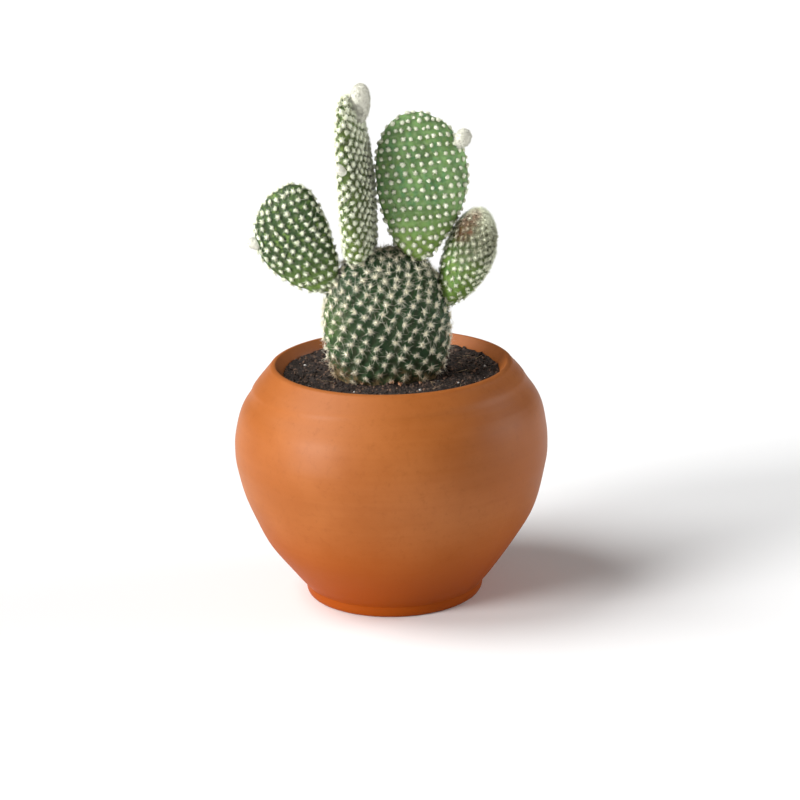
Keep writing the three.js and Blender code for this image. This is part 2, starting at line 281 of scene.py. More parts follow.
PADS = {
    "main_pad": PadForm(
        foot=(-0.7, -8, 83.7), tip=(-2.3, -8, 160), half_width=27.7, half_thickness=14,
        widest_at=0.556, thickest_at=0.48, bluntness=2.2, turn=8, bend=(1, 0),
        areoles=396, divergence=10.016 / 23, evening=2, jitter=0.22, tip_crowding=0.35,
        edge_crowding=0.3, tip_fullness=0.25, cushion=0.62, bristle_length=1.35, spikes=24,
        spike_length=2.7, spike_width=0.32, tubercle=1.1, seed=11,
    ),
    "left_pad": PadForm(
        foot=(-25.3, -10.5, 142), tip=(-42.1, -15, 190.3), half_width=17.4, half_thickness=7.5,
        widest_at=0.547, thickest_at=0.46, bluntness=2.05, turn=-22, bend=(-7, 0),
        areoles=236, divergence=0.5283, evening=4, jitter=0.12, tip_crowding=0.15,
        edge_crowding=0.5, cushion=0.7, bristle_length=1.45, spikes=26, spike_length=2.3,
        spike_width=0.3, tubercle=0.5, seed=12,
    ),
    "tall_pad": PadForm(
        foot=(-11.6, -8.5, 154), tip=(-16, -7, 226.5), half_width=17.5, half_thickness=6,
        widest_at=0.48, thickest_at=0.3, bluntness=2.55, turn=76, bend=(0, -1.2),
        areoles=415, jitter=0.24, tip_crowding=0.05, edge_crowding=0.5, cushion=0.8,
        tip_fullness=0.5, foot_fullness=0.3, bristle_length=1.6, spikes=26, spike_length=2.2,
        spike_width=0.3, tubercle=0.4, seed=13,
    ),
    "large_pad": PadForm(
        foot=(12.3, -6, 152), tip=(13.9, 2, 218.1), half_width=20.6, half_thickness=8,
        widest_at=0.603, thickest_at=0.44, bluntness=1.95, turn=14, bend=(3.1, 0),
        areoles=355, divergence=11.986 / 23, evening=7, jitter=0.2, tip_crowding=0.15,
        edge_crowding=0.2, cushion=0.84, foot_fullness=0.3, bristle_length=1.35,
        spike_length=1.7, spike_width=0.26, tubercle=0.35, seed=14,
    ),
    "right_pad": PadForm(
        foot=(24, -4, 132), tip=(42.9, -5, 174.9), half_width=12.7, half_thickness=7.5,
        widest_at=0.62, thickest_at=0.46, bluntness=1.85, turn=-52, bend=(1.7, 0),
        areoles=300, jitter=0.28, tip_crowding=0.75, edge_crowding=1.2, cushion=0.5,
        tip_fullness=0.5, bristle_length=1.15, bristle_width=0.2, spikes=28, spike_length=2.0,
        spike_width=0.22, tubercle=0.3, seed=15,
    ),
}

BUDS = {
    "tall_pad_tip_bud": PadForm(
        foot=(-10.4, -7, 215.4), tip=(-9.4, -7, 232.2), half_width=4.1, half_thickness=3.9,
        widest_at=0.54, thickest_at=0.5, bluntness=2.2, areoles=460, jitter=0.2, seed=21,
        parent="tall_pad",
    ),
    "tall_pad_side_bud": PadForm(
        foot=(-15, -20, 194.5), tip=(-19.8, -25.6, 200.2), half_width=2.1, half_thickness=2.1,
        widest_at=0.55, thickest_at=0.55, areoles=100, seed=22, parent="tall_pad",
    ),
    "large_pad_bud": PadForm(
        foot=(32.4, 0, 202.6), tip=(36.0, 0, 210), half_width=3.1, half_thickness=3,
        widest_at=0.55, thickest_at=0.55, areoles=200, seed=23, parent="large_pad",
    ),
    "left_pad_bud": PadForm(
        foot=(-54.2, -7.4, 162.2), tip=(-59.8, -5.4, 164.4), half_width=2.2, half_thickness=2.2,
        widest_at=0.5, thickest_at=0.5, areoles=100, seed=24, parent="left_pad",
    ),
}


# Properties

def color_property(name, description, *levels):
    return FloatVectorProperty(
        name=name, description=description, default=srgb(*levels), subtype="COLOR", min=0, max=1
    )


def count_property(name, description, default):
    return IntProperty(name=name, description=description, default=default, min=1)


def strength_property(name, description, default):
    return FloatProperty(name=name, description=description, default=default, min=0)


class PotSettings(bpy.types.PropertyGroup):
    clay: color_property("Clay", "Colour of the fired clay", 153, 84, 32)
    pale_clay: color_property("Pale clay", "Clay where it is dusty and dry", 165, 96, 45)
    # Painted light: a deeper, warmer clay low on the pot that stands in for warm light bounced up from
    # below
    painted_bounce_clay: color_property("Deep clay", "Clay low on the pot", 147, 64, 6)
    line_depth: FloatProperty(
        name="Line depth", description="Depth of the throwing lines", default=0.00005,
        subtype="DISTANCE", unit="LENGTH", precision=5,
    )


class SoilSettings(bpy.types.PropertyGroup):
    peat: color_property("Peat", "Colour of the dark soil", 50, 39, 33)
    bark: color_property("Bark", "Colour of the brown bits in the soil", 112, 86, 70)
    perlite: color_property("Perlite", "Colour of the white grains", 215, 210, 205)
    crumbs: count_property("Crumbs", "Number of loose crumbs on the soil", 2100)
    grains: count_property("Grains", "Number of white grains", 38)
    fibres: count_property("Fibres", "Number of loose root fibres", 46)


class PlantSettings(bpy.types.PropertyGroup):
    old_skin: color_property("Old skin", "Main colour of the main pad", 46, 73, 42)
    grown_skin: color_property("Grown skin", "Main colour of the left pad", 50, 74, 34)
    tall_skin: color_property("Tall pad skin", "Main colour of the tall pad", 80, 98, 44)
    large_skin: color_property("Large pad skin", "Main colour of the large pad", 126, 164, 102)
    young_skin: color_property("Young skin", "Main colour of the right pad", 96, 126, 50)
    foot_skin: color_property("Foot skin", "Young green at the foot of a pad", 134, 164, 76)
    cork: color_property("Cork", "Brown of the old skin at the soil", 150, 122, 86)
    rust: color_property("Rust", "Reddish brown on the young pad", 98, 56, 34)
    # Duller green under the young pad's bristles, partly painted shade on its shaded half
    olive_and_shade: color_property("Olive", "Duller green under the young pad's bristles", 66, 72, 40)
    down: color_property("Down", "Grey down on the young pad", 128, 124, 92)
    # Dark brown round each tuft, partly the areole's own rim and partly painted shade; also the painted
    # shade in the main pad's valleys and between the tufts on shaded sides, and a dark blot
    areole_rim_and_shade: color_property("Areole rims", "Dark brown skin round each tuft", 44, 42, 26)
    bristle: color_property("Bristles", "Colour of the bristles", 248, 252, 228)
    old_bristle: color_property("Old bristles", "Colour of the main pad's bristles", 254, 248, 226)
    felt: color_property("Felt", "Colour of the felt under the bristles", 205, 202, 168)
    wool: color_property("Wool", "Colour of the wool on the buds", 244, 243, 230)


class StageSettings(bpy.types.PropertyGroup):
    floor: color_property("Floor", "Colour of the floor", 252, 252, 252)
    key_strength: strength_property("Key light", "Strength of the large soft light on the left", 3.6)
    top_strength: strength_property("Top light", "Strength of the soft light above the left side", 2.4)
    rim_strength: strength_property("Rim light", "Strength of the soft light on the right", 1.5)
    fill: strength_property("Fill", "Strength of the light from all round", 0.14)
    light_width: FloatProperty(
        name="Light width", description="How large the soft lights look from the plant",
        default=math.radians(25), subtype="ANGLE",
    )
    lens: FloatProperty(
        name="Focal length", description="Focal length of the camera in millimetres", default=110.65
    )


# Shader nodes written as expressions

def maths(operation, reflected=False):
    """An operator of a wire that adds one Math node."""

    def apply(self, other):
        first, second = (other, self) if reflected else (self, other)
        return self.shader.node("ShaderNodeMath", {"operation": operation}, {0: first, 1: second})

    return apply


class Wire:
    """A node's output that takes part in sums with numbers and with other outputs."""

    def __init__(self, shader, socket):
        self.shader = shader
        self.socket = socket

    __add__, __radd__ = maths("ADD"), maths("ADD", reflected=True)
    __sub__, __rsub__ = maths("SUBTRACT"), maths("SUBTRACT", reflected=True)
    __mul__, __rmul__ = maths("MULTIPLY"), maths("MULTIPLY", reflected=True)
    __pow__ = maths("POWER")


class Shader:
    """One material's node tree. Every node comes from node()."""

    def __init__(self, name):
        self.material = bpy.data.materials.new(name)
        self.material.use_nodes = True
        self.tree = self.material.node_tree
        self.tree.nodes.clear()

    def node(self, kind, settings=None, inputs=None, output=0):
        made = self.tree.nodes.new(kind)
        for key, value in (settings or {}).items():
            setattr(made, key, value)
        for key, value in (inputs or {}).items():
            if isinstance(value, Wire):
                self.tree.links.new(value.socket, made.inputs[key])
            else:
                made.inputs[key].default_value = value
        return Wire(self, made.outputs[output]) if made.outputs else None

    def place(self):
        """Where a point lies on the object, in metres."""
        return self.node("ShaderNodeTexCoord", output="Object")

    def attribute(self, name):
        return self.node("ShaderNodeAttribute", {"attribute_name": name}, output="Fac")

    def height(self):
        return self.node("ShaderNodeSeparateXYZ", inputs={0: self.place()}, output="Z")

    def stretched(self, scale):
        return self.node(
            "ShaderNodeVectorMath", {"operation": "MULTIPLY"}, {0: self.place(), 1: scale}
        )

    def noise(self, size, detail=3.0, roughness=0.55, vector=None):
        """Soft noise whose features are about size metres wide."""
        inputs = {
            "Vector": vector or self.place(),
            "Scale": 1.0 / size,
            "Detail": detail,
            "Roughness": roughness,
        }
        return self.node("ShaderNodeTexNoise", inputs=inputs)

    def cells(self, size):
        inputs = {"Vector": self.place(), "Scale": 1.0 / size}
        return self.node("ShaderNodeTexVoronoi", inputs=inputs, output="Distance")

    def between(self, value, low, high):
        """0 where value is at low, 1 at high, with soft ends."""
        inputs = {"Value": value, "From Min": low, "From Max": high}
        return self.node("ShaderNodeMapRange", {"interpolation_type": "SMOOTHSTEP"}, inputs)

    def spot(self, name):
        """1 in the middle of a coloured spot, falling to 0 at its reach."""
        middle, reach = SPOTS[name]
        distance = self.node(
            "ShaderNodeVectorMath",
            {"operation": "DISTANCE"},
            {0: self.place(), 1: scaled(middle, MM)},
            output="Value",
        )
        return self.between(distance, reach * MM, 0.3 * reach * MM)

    def mix(self, share, first, second):
        """Colour between first and second."""
        paint = [value if isinstance(value, Wire) else opaque(value) for value in (first, second)]
        inputs = {0: share, 6: paint[0], 7: paint[1]}
        return self.node("ShaderNodeMix", {"data_type": "RGBA"}, inputs, output=2)

    def layered(self, color, *layers):
        """A colour with others laid over it, each by its own share."""
        for share, over in layers:
            color = self.mix(share, color, over)
        return color

    def bump(self, height, distance, strength=1.0, normal=None):
        inputs = {"Height": height, "Distance": distance, "Strength": strength}
        if normal:
            inputs["Normal"] = normal
        return self.node("ShaderNodeBump", inputs=inputs)

    def finish(self, color, roughness, normal=None, **constants):
        inputs = {"Base Color": color, "Roughness": roughness, **constants}
        if normal:
            inputs["Normal"] = normal
        surface = self.node("ShaderNodeBsdfPrincipled", inputs=inputs)
        self.node("ShaderNodeOutputMaterial", inputs={"Surface": surface})
        return self.material


# Materials

def fired_clay(settings):
    shader = Shader("fired_clay")
    height = shader.height()
    patches = shader.noise(0.05, detail=4)
    streaks = shader.noise(0.02, vector=shader.stretched((0.25, 0.25, 10.0)))
    mottle = shader.noise(0.0028, detail=5, roughness=0.7)
    grain = shader.noise(0.0006, detail=2)
    darker = scaled(settings.clay, 0.78)
    color = shader.layered(
        settings.clay,
        (shader.between(0.85 * patches + 0.15 * streaks, 0.36, 0.68), settings.pale_clay),
        (0.4 * shader.between(mottle, 0.5, 0.75), darker),
        (0.25 * shader.between(grain, 0.6, 0.75), darker),
        # Painted light: deeper, warmer clay towards the bottom, standing in for warm bounced light
        (0.9 * shader.between(height, 0.058, 0.008), settings.painted_bounce_clay),
    )
    shoulder = 0.1 + 0.9 * shader.between(height, 0.084, 0.094)
    fine = shader.bump(grain, 0.00008, 0.5)
    normal = shader.bump(streaks * shoulder, 0.0004, 0.12, fine)
    burnish = 0.3 * shader.between(height, 0.03, 0.06)
    gloss = {"Specular IOR Level": 0.06, "Coat Weight": burnish, "Coat Roughness": 0.45}
    return shader.finish(color, 0.42 + 0.1 * patches, normal, **gloss)


def peat(settings):
    shader = Shader("peat")
    clods = shader.noise(0.004, detail=6, roughness=0.7)
    grit = shader.cells(0.0011)
    color = shader.layered(
        settings.peat,
        (shader.between(clods, 0.5, 0.66), settings.bark),
        (shader.between(grit, 0.45, 0.75), scaled(settings.peat, 0.35)),
    )
    return shader.finish(color, 0.95, shader.bump(clods + 0.5 * grit, 0.0008, 0.9))


def crumb(settings):
    shader = Shader("soil_crumb")
    browned = shader.between(shader.attribute("tone"), 0.55, 1.0)
    color = shader.mix(browned, settings.peat, settings.bark)
    return shader.finish(color, 0.92, shader.bump(shader.noise(0.0007, detail=4), 0.0003, 0.8))


def perlite(settings):
    shader = Shader("perlite")
    pores = shader.noise(0.0005, detail=3)
    filled = shader.between(pores, 0.3, 0.6)
    color = shader.mix(filled, scaled(settings.perlite, 0.6), settings.perlite)
    return shader.finish(color, 0.85, shader.bump(pores, 0.0002, 0.6))


def root_fibre():
    shader = Shader("root_fibre")
    color = shader.mix(shader.attribute("tone"), srgb(92, 66, 46), srgb(196, 170, 132))
    return shader.finish(color, 0.8, shader.bump(shader.noise(0.0004), 0.0001, 0.5))


def dry_flake():
    shader = Shader("dry_flake")
    veins = shader.noise(0.0012, detail=4, vector=shader.stretched((1.0, 3.0, 1.0)))
    color = shader.layered(
        srgb(168, 104, 66),
        (shader.attribute("tone"), srgb(206, 172, 140)),
        (0.5 * shader.between(veins, 0.5, 0.7), srgb(96, 52, 34)),
    )
    return shader.finish(color, 0.7, shader.bump(veins, 0.0003, 0.7))


def corky_layers(shader, settings, blotches, mottle, network, halo):
    """Painted light on the lit left side, painted shade in the valleys between the tufts, and brown cork
    at the soil line and up the left edge.
    """
    # Painted light: the main pad's left side, which faces the key light, made lighter and yellower
    painted_lit_side = shader.spot("painted lit side") * (0.4 + 0.6 * shader.between(mottle, 0.4, 0.6))
    # Painted shade: dark brown in the valleys between the rows of tufts on the main pad
    painted_valley_shade = shader.between(halo, 0.22, 0.0) * shader.between(blotches, 0.3, 0.6)
    ragged = shader.between(mottle, 0.38, 0.54) * (0.3 + 0.7 * shader.between(network, 0.42, 0.5))
    soil_line = shader.between(shader.height() + 0.024 * (blotches - 0.5), 0.109, 0.1)
    left_edge = shader.spot("corky edge") * shader.between(blotches, 0.34, 0.46)
    scar = shader.spot("scar") * shader.between(network, 0.4, 0.5)
    return [
        (0.26 * painted_lit_side, settings.foot_skin),
        (0.75 * painted_valley_shade, settings.areole_rim_and_shade),
        (0.85 * soil_line * ragged, settings.cork),
        (0.9 * left_edge * ragged, scaled(settings.cork, 0.6)),
        (0.85 * scar, settings.rust),
    ]


def painted_gap_shade_layers(shader, settings, halo):
    """Painted shade: darker gaps between the tufts on the tall pad's side that faces the large pad and
    lies in shade.
    """
    inner = shader.spot("lower inner side") + shader.spot("upper inner side")
    gaps = shader.between(halo, 0.6, 0.15) * shader.between(inner, 0.0, 0.7)
    return [(0.5 * gaps, settings.areole_rim_and_shade)]


def rusty_layers(shader, settings, network, halo):
    """Dull green, partly painted shade, and painted shade between the tufts on the young pad's shaded
    half, grey down, a pale tip and a rusty upper left edge.
    """
    ragged = shader.between(network, 0.4, 0.56)
    hazy_shade = shader.spot("hazy shade")
    gaps = shader.between(halo, 0.5, 0.1)
    rim = shader.between(shader.spot("upper rust") + shader.spot("lower rust"), 0.0, 0.7)
    return [
        # Duller green on the young pad's shaded half: partly its own colour, partly painted shade
        (0.75 * hazy_shade, settings.olive_and_shade),
        # Painted shade: darker skin between the tufts there
        (0.7 * hazy_shade * gaps, settings.areole_rim_and_shade),
        (0.8 * shader.spot("down") * (0.5 + 0.5 * ragged), settings.down),
        (0.85 * shader.spot("pale tip"), settings.felt),
        (0.9 * rim * (0.4 + 0.6 * ragged), settings.rust),
        (0.8 * shader.spot("dark blot") * (0.4 + 0.6 * ragged), settings.areole_rim_and_shade),
    ]


def pad_skin(name, skin, settings, foot_share, cork=False, rust=False, painted_gap_shade=False):
    """Skin with soft blotches, young green at the foot and a dark brown rim round each areole, partly
    painted shade.
    """
    shader = Shader(name)
    blotches = shader.noise(0.009, detail=4)
    mottle = shader.noise(0.0024, detail=4, roughness=0.65)
    pores = shader.noise(0.0009, detail=3)
    network = shader.noise(0.0017, detail=5, roughness=0.75)
    tint = shader.noise(0.0055, detail=5, roughness=0.65, vector=shader.stretched((1.0, 1.0, 0.8)))
    halo = shader.attribute("areole")
    dark = scaled(skin, 0.5)
    light = tuple(min(1.0, channel) for channel in scaled(skin, 1.25))
    bluish = (0.55 * skin[0], 0.88 * skin[1], 1.05 * skin[2])
    pale = tuple(0.6 * green + 0.4 * felt for green, felt in zip(skin, settings.felt))
    foot = shader.between(shader.attribute("along") + 0.5 * (mottle - 0.5), 0.42, 0.1)
    layers = [
        (0.2 + 0.8 * shader.between(blotches, 0.35, 0.65), light),
        (0.6 * shader.between(tint, 0.48, 0.62), bluish),
        (foot * foot_share, settings.foot_skin),
        (0.5 * shader.between(mottle, 0.52, 0.66), light if cork else settings.foot_skin),
        (0.55 * shader.between(mottle, 0.48, 0.32), dark),
        ((0.12 + 0.5 * foot_share) * shader.between(network, 0.5, 0.64), pale),
        # Dark brown round each areole: partly its own brown rim, partly painted shade of the tuft
        ((0.3 if cork else 0.6) * halo, settings.areole_rim_and_shade),
    ]
    if cork:
        layers += corky_layers(shader, settings, blotches, mottle, network, halo)
    if painted_gap_shade:
        layers += painted_gap_shade_layers(shader, settings, halo)
    if rust:
        layers += rusty_layers(shader, settings, network, halo)
    fine = shader.bump(pores, 0.00015, 0.6)
    normal = shader.bump(blotches, 0.0012, 0.35, fine)
    satin = {"Specular IOR Level": 0.25}
    return shader.finish(shader.layered(dark, *layers), 0.5 + 0.2 * blotches, normal, **satin)


def bristle_bunch(name, tip_color, settings, old=False, rust=False):
    """Bristles: felt colour at their roots, pale at their tips, each tuft a little different."""
    shader = Shader(name)
    tuft = shader.attribute("tuft")
    tips = shader.mix(0.4 * tuft, tip_color, scaled(tip_color, 0.75))
    layers = [(shader.between(shader.attribute("tone"), 0.0, 0.55), tips)]
    if old:
        low = shader.between(shader.height(), 0.113, 0.103)
        crown = shader.spot("crown")
        layers += [
            (0.8 * low * (0.3 + 0.7 * tuft), settings.cork),
            (0.6 * shader.spot("corky tufts") * tuft, settings.cork),
            (0.5 * crown, settings.cork),
            (0.1 * crown * tuft, settings.rust),
        ]
    if rust:
        rusty = shader.spot("upper rusty tufts") + shader.spot("lower rusty tufts")
        rim = shader.between(rusty, 0.0, 0.7) * (0.4 + 0.6 * tuft)
        layers += [
            (0.85 * rim, scaled(settings.rust, 1.9)),
            # Grey bristles in the middle of the young pad: partly grey down, partly painted shade
            (shader.spot("grey shaded middle") * (0.3 + 0.5 * tuft), settings.down),
        ]
    normal = shader.bump(shader.noise(0.0003), 0.00005, 0.4)
    dull = {"Specular IOR Level": 0.2}
    return shader.finish(shader.layered(settings.felt, *layers), 0.7, normal, **dull)


def bud_wool(settings):
    shader = Shader("bud_wool")
    color = shader.layered(
        scaled(settings.wool, 0.8),
        (shader.between(shader.attribute("tone"), 0.0, 0.5), settings.wool),
        (0.4 * shader.attribute("tuft") ** 2, scaled(settings.wool, 0.5)),
    )
    return shader.finish(color, 0.75, shader.bump(shader.noise(0.0004), 0.00006, 0.4))


def plain_floor(settings):
    shader = Shader("plain_floor")
    drift = shader.noise(0.6, detail=1)
    color = shader.mix(drift, scaled(settings.floor, 0.97), settings.floor)
    return shader.finish(color, 0.9)


# Meshes

def mesh_piece(name, vertices, faces, material, smooth=True, **attributes):
    """A mesh object from points in millimetres and faces, with values for the points if given."""
    faces = faces.tolist() if isinstance(faces, np.ndarray) else faces
    mesh = bpy.data.meshes.new(name)
    mesh.from_pydata((np.asarray(vertices) * MM).tolist(), [], faces)
    mesh.materials.append(material)
    for key, values in attributes.items():
        layer = mesh.attributes.new(key, "FLOAT", "POINT")
        layer.data.foreach_set("value", np.asarray(values, np.float32))
    mesh.polygons.foreach_set("use_smooth", [smooth] * len(mesh.polygons))
    mesh.update()
    piece = bpy.data.objects.new(name, mesh)
    bpy.context.scene.collection.objects.link(piece)
    return piece


def settle(piece, node=None):
    """The piece rides on the part's body and may stand for a node, whose solid it hides."""
    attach(piece, BODY)
    if node:
        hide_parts(node)


def unit(vectors):
    """The same directions, each of length 1."""
    return vectors / np.linalg.norm(vectors, axis=1)[:, None]


def repeated(faces, each, count):
    """The faces of count copies, one after another, of a mesh that has each points."""
    faces = np.array(faces)
    return (faces[None] + each * np.arange(count)[:, None, None]).reshape(-1, faces.shape[1])


def lathe(radii, heights, columns):
    """Rings of points: a profile turned about the upright axis."""
    angles = np.linspace(0, 2 * math.pi, columns, endpoint=False)
    radii, heights = radii[:, None], heights[:, None]
    rings = [radii * np.cos(angles), radii * np.sin(angles), heights + 0 * angles]
    return np.stack(rings, -1).reshape(-1, 3)


def ring_faces(rings, columns, closed=True):
    """Quads between rings of points. A closed strip also joins the last ring to the first."""
    ring = np.arange(rings if closed else rings - 1)[:, None]
    column = np.arange(columns)[None, :]
    after = (column + 1) % columns
    low, high = ring * columns, (ring + 1) % rings * columns
    quads = np.stack([low + column, low + after, high + after, high + column], -1)
    return quads.reshape(-1, 4).tolist()


def ripples(points, wavelength, seed, waves=12):
    """Smooth noise from about -1 to 1: a sum of plane waves in seeded directions."""
    rng = np.random.default_rng(seed)
    directions = unit(rng.normal(size=(waves, 3)))
    stretch = rng.uniform(0.6, 1.7, waves)
    phases = rng.uniform(0, 2 * math.pi, waves)
    turns = points @ (directions * (2 * math.pi * stretch / wavelength)[:, None]).T + phases
    return np.sin(turns).sum(1) / math.sqrt(waves)


def through(points, steps):
    """A smooth curve through points, steps points to each stretch."""
    knots = np.asarray(points, float)
    padded = np.vstack([knots[0], knots, knots[-1]])
    share = np.linspace(0, 1, steps, endpoint=False)[:, None]
    stretches = []
    for i in range(len(knots) - 1):
        before, start, end, after = padded[i : i + 4]
        leave = (end - before) / 2
        arrive = (after - start) / 2
        cubic = 2 * start - 2 * end + leave + arrive
        square = 3 * end - 3 * start - 2 * leave - arrive
        stretches.append(start + share * leave + share**2 * square + share**3 * cubic)
    return np.vstack([*stretches, knots[-1:]])


def arc(centre, radius, start, end, steps):
    angles = np.radians(np.linspace(start, end, steps))
    return np.array(centre) + radius * np.stack([np.cos(angles), np.sin(angles)], 1)


def wall_points(steps):
    """The outside of the thrown wall, from the top of its foot to just under the lip."""
    wall = [(share * BELLY_RADIUS, height) for share, height in WALL_PROFILE]
    lip_centre = (LIP_RADIUS, LIP_HEIGHT - LIP_ROUND)
    neck = arc(lip_centre, LIP_ROUND - NECK_SINK, NECK_ANGLE, NECK_ANGLE, 1)[0]
    return through([FOOT_GROOVE, *wall, neck], steps)


def inside_points(depth, steps):
    """The inside at a depth below the outside, from the mouth down to the floor."""
    outside = wall_points(steps)
    along = unit(np.gradient(outside, axis=0))
    inside = outside - depth * np.stack([along[:, 1], -along[:, 0]], 1)
    floor = FLOOR_THICKNESS + depth - WALL
    kept = (inside[:, 1] > floor + OVER_FLOOR) & (inside[:, 1] < THROAT[1] - UNDER_THROAT)
    return np.vstack([inside[kept][::-1], [(FOOT_GROOVE[0] - depth, floor)]])


def lip_points():
    """The lip from outside to inside: a round, a crisp edge and a slant down to the throat."""
    centre = (LIP_RADIUS, LIP_HEIGHT - LIP_ROUND)
    edge_centre = arc(centre, LIP_ROUND - EDGE_ROUND, LIP_TOP, LIP_TOP, 1)[0]
    outside = arc(centre, LIP_ROUND, LIP_START, LIP_TOP, 10)
    edge = arc(edge_centre, EDGE_ROUND, LIP_TOP, LIP_END, 8)
    below = (THROAT[0] + BELOW_THROAT[0], THROAT[1] + BELOW_THROAT[1])
    slant = through([edge[-1], THROAT, below], 8)
    return np.vstack([outside[:-1], edge[:-1], slant])


def thrown_marks(points, depth):
    """How far throwing lines and the shoulder's steps move the outside of the pot, in millimetres."""
    height = points[:, 2]
    turn = np.arctan2(points[:, 1], points[:, 0]) / (2 * math.pi)
    around = 2 * math.pi * turn
    swell = 0.5 + 0.5 * ripples(points * (1, 1, 3), 60, seed=3)
    lines = sum(
        np.sin(2 * math.pi * (height / pitch + way * turn) + pitch) * share
        for pitch, way, share in THROWING_LINES
    )
    at_shoulder = np.exp(-(((height - STEP_HEIGHT) / SHOULDER_REACH) ** 2))
    strength = LINES_ON_WALL + LINES_ON_SHOULDER * at_shoulder
    above = height - STEP_HEIGHT - (STEP_TILT[0] * np.cos(around) + STEP_TILT[1] * np.sin(around))
    step = sum(amount * np.tanh((above + under) / softness) for under, amount, softness in STEPS)
    deeper_on_left = 1.4 - 0.4 * np.cos(around)
    step *= np.exp(-((above / STEP_REACH) ** 2)) * deeper_on_left
    wobble = WOBBLE * ripples(points, 90, seed=4)
    for centre, reach, amount, heading in SWELLS:
        facing = 0.5 + 0.5 * np.cos(around - math.radians(heading))
        wobble += amount * facing**2 * np.exp(-(((height - centre) / reach) ** 2))
    return depth / MM * lines * strength * swell + step + wobble


def leaned(points):
    """Points moved sideways with height, because the mouth of the thrown pot sits to one side."""
    share = np.clip((points[:, 2] - LEAN_START) / LEAN_RISE, 0, 1)
    moved = points.copy()
    moved[:, 0] += MOUTH_SHIFT * share * share * (3 - 2 * share)
    return moved


def pot_piece(settings):
    """The pot's whole skin: underside, foot, wall, lip, inside and drain hole."""
    ring_inside = FOOT_RADIUS - FOOT_RING_WIDTH
    underside = [(DRAIN_RADIUS, FOOT_RECESS), (ring_inside - FOOT_RECESS, FOOT_RECESS), (ring_inside, 0)]
    foot = through([*FOOT_PROFILE, FOOT_GROOVE], FOOT_STEPS)[:-1]
    wall = wall_points(WALL_STEPS)
    inside = inside_points(WALL, INSIDE_STEPS)
    drain_top = [(DRAIN_RADIUS, FLOOR_THICKNESS)]
    profile = np.vstack([underside, foot, wall[:-1], lip_points(), inside, drain_top])
    points = lathe(profile[:, 0], profile[:, 1], POT_COLUMNS)
    ring = np.repeat(np.arange(len(profile)), POT_COLUMNS)
    first_wall = len(underside) + len(foot)
    last_wall = first_wall + len(wall) - 1
    from_foot, from_lip = (ring - first_wall) / EASE_RINGS[0], (last_wall - ring) / EASE_RINGS[1]
    ease = np.clip(from_foot, 0, 1) * np.clip(from_lip, 0, 1)
    marks = thrown_marks(points, settings.line_depth) * ease
    points[:, :2] += unit(points[:, :2]) * marks[:, None]
    faces = ring_faces(len(profile), POT_COLUMNS)
    return mesh_piece("pot_clay", leaned(points), faces, fired_clay(settings))


def soil_rise(points):
    """Height of the soil's top over its mean level, by the same rule as in the solid."""
    x, y = points[:, 0], points[:, 1]
    lumps = np.sin(0.31 * x + 1.3) * np.cos(0.27 * y) + 0.6 * np.sin(0.53 * y - 0.41 * x)
    return SOIL_RELIEF * lumps + SOIL_TILT * (y - x) / (2 * LIP_RADIUS)


def soil_top(points):
    """The soil's top with its fine unevenness."""
    flat = np.stack([points[:, 0], points[:, 1], np.zeros(len(points))], 1)
    clods = 0.35 * ripples(flat, 7, seed=5) + 0.3 * ripples(flat, 3.2, seed=6, waves=16)
    clods += 0.16 * np.abs(ripples(flat, 1.5, seed=7, waves=16))
    return SOIL_HEIGHT + soil_rise(points) + clods


def soil_piece(settings):
    side = inside_points(WALL + SOIL_GAP, 3)[::-1]
    top = SOIL_MOUTH * np.linspace(1, 0.01, SOIL_RINGS)
    radii = np.concatenate([[0.5], side[:, 0], top])
    heights = np.concatenate([side[:1, 1], side[:, 1], 0 * top])
    points = lathe(radii, heights, SOIL_COLUMNS)
    upper = (1 + len(side)) * SOIL_COLUMNS
    points[upper:, 2] = soil_top(points[upper:])
    faces = ring_faces(len(radii), SOIL_COLUMNS, closed=False)
    faces.append(list(range(SOIL_COLUMNS))[::-1])
    faces.append(list(range(len(points) - SOIL_COLUMNS, len(points))))
    return mesh_piece("soil_bed", leaned(points), faces, peat(settings))


def spread_on_soil(count, rng, outer=1.0):
    """Seeded places on the soil, clear of the main pad's foot."""
    foot = PadSurface(PADS["main_pad"])
    places = []
    while len(places) < count:
        radius = SOIL_MOUTH * math.sqrt(rng.uniform(0, outer**2))
        angle = rng.uniform(0, 2 * math.pi)
        place = np.array([radius * math.cos(angle) + MOUTH_SHIFT, radius * math.sin(angle), SOIL_HEIGHT])
        if not foot.holds(place[None], 0.2)[0]:
            places.append(place)
    places = np.array(places)
    places[:, 2] = soil_top(places)
    return places


def turned(rng, count):
    """Seeded turns in space, as matrices."""
    quaternions = rng.normal(size=(count, 4))
    return np.array([Quaternion(q).normalized().to_matrix() for q in quaternions])


def lump(rings, columns):
    """Points and faces of a small ball, for crumbs, grains and felt cushions."""
    slant = np.linspace(0, math.pi, rings + 2)[1:-1]
    points = np.vstack([lathe(np.sin(slant), np.cos(slant), columns), [(0, 0, 1), (0, 0, -1)]])
    top, bottom = len(points) - 2, len(points) - 1
    faces = []
    for low_left, low_right, high_right, high_left in ring_faces(rings, columns, closed=False):
        faces += [(low_left, high_left, high_right), (low_left, high_right, low_right)]
    last = (rings - 1) * columns
    for column in range(columns):
        after = (column + 1) % columns
        faces += [(top, column, after), (bottom, last + after, last + column)]
    return points, np.array(faces)


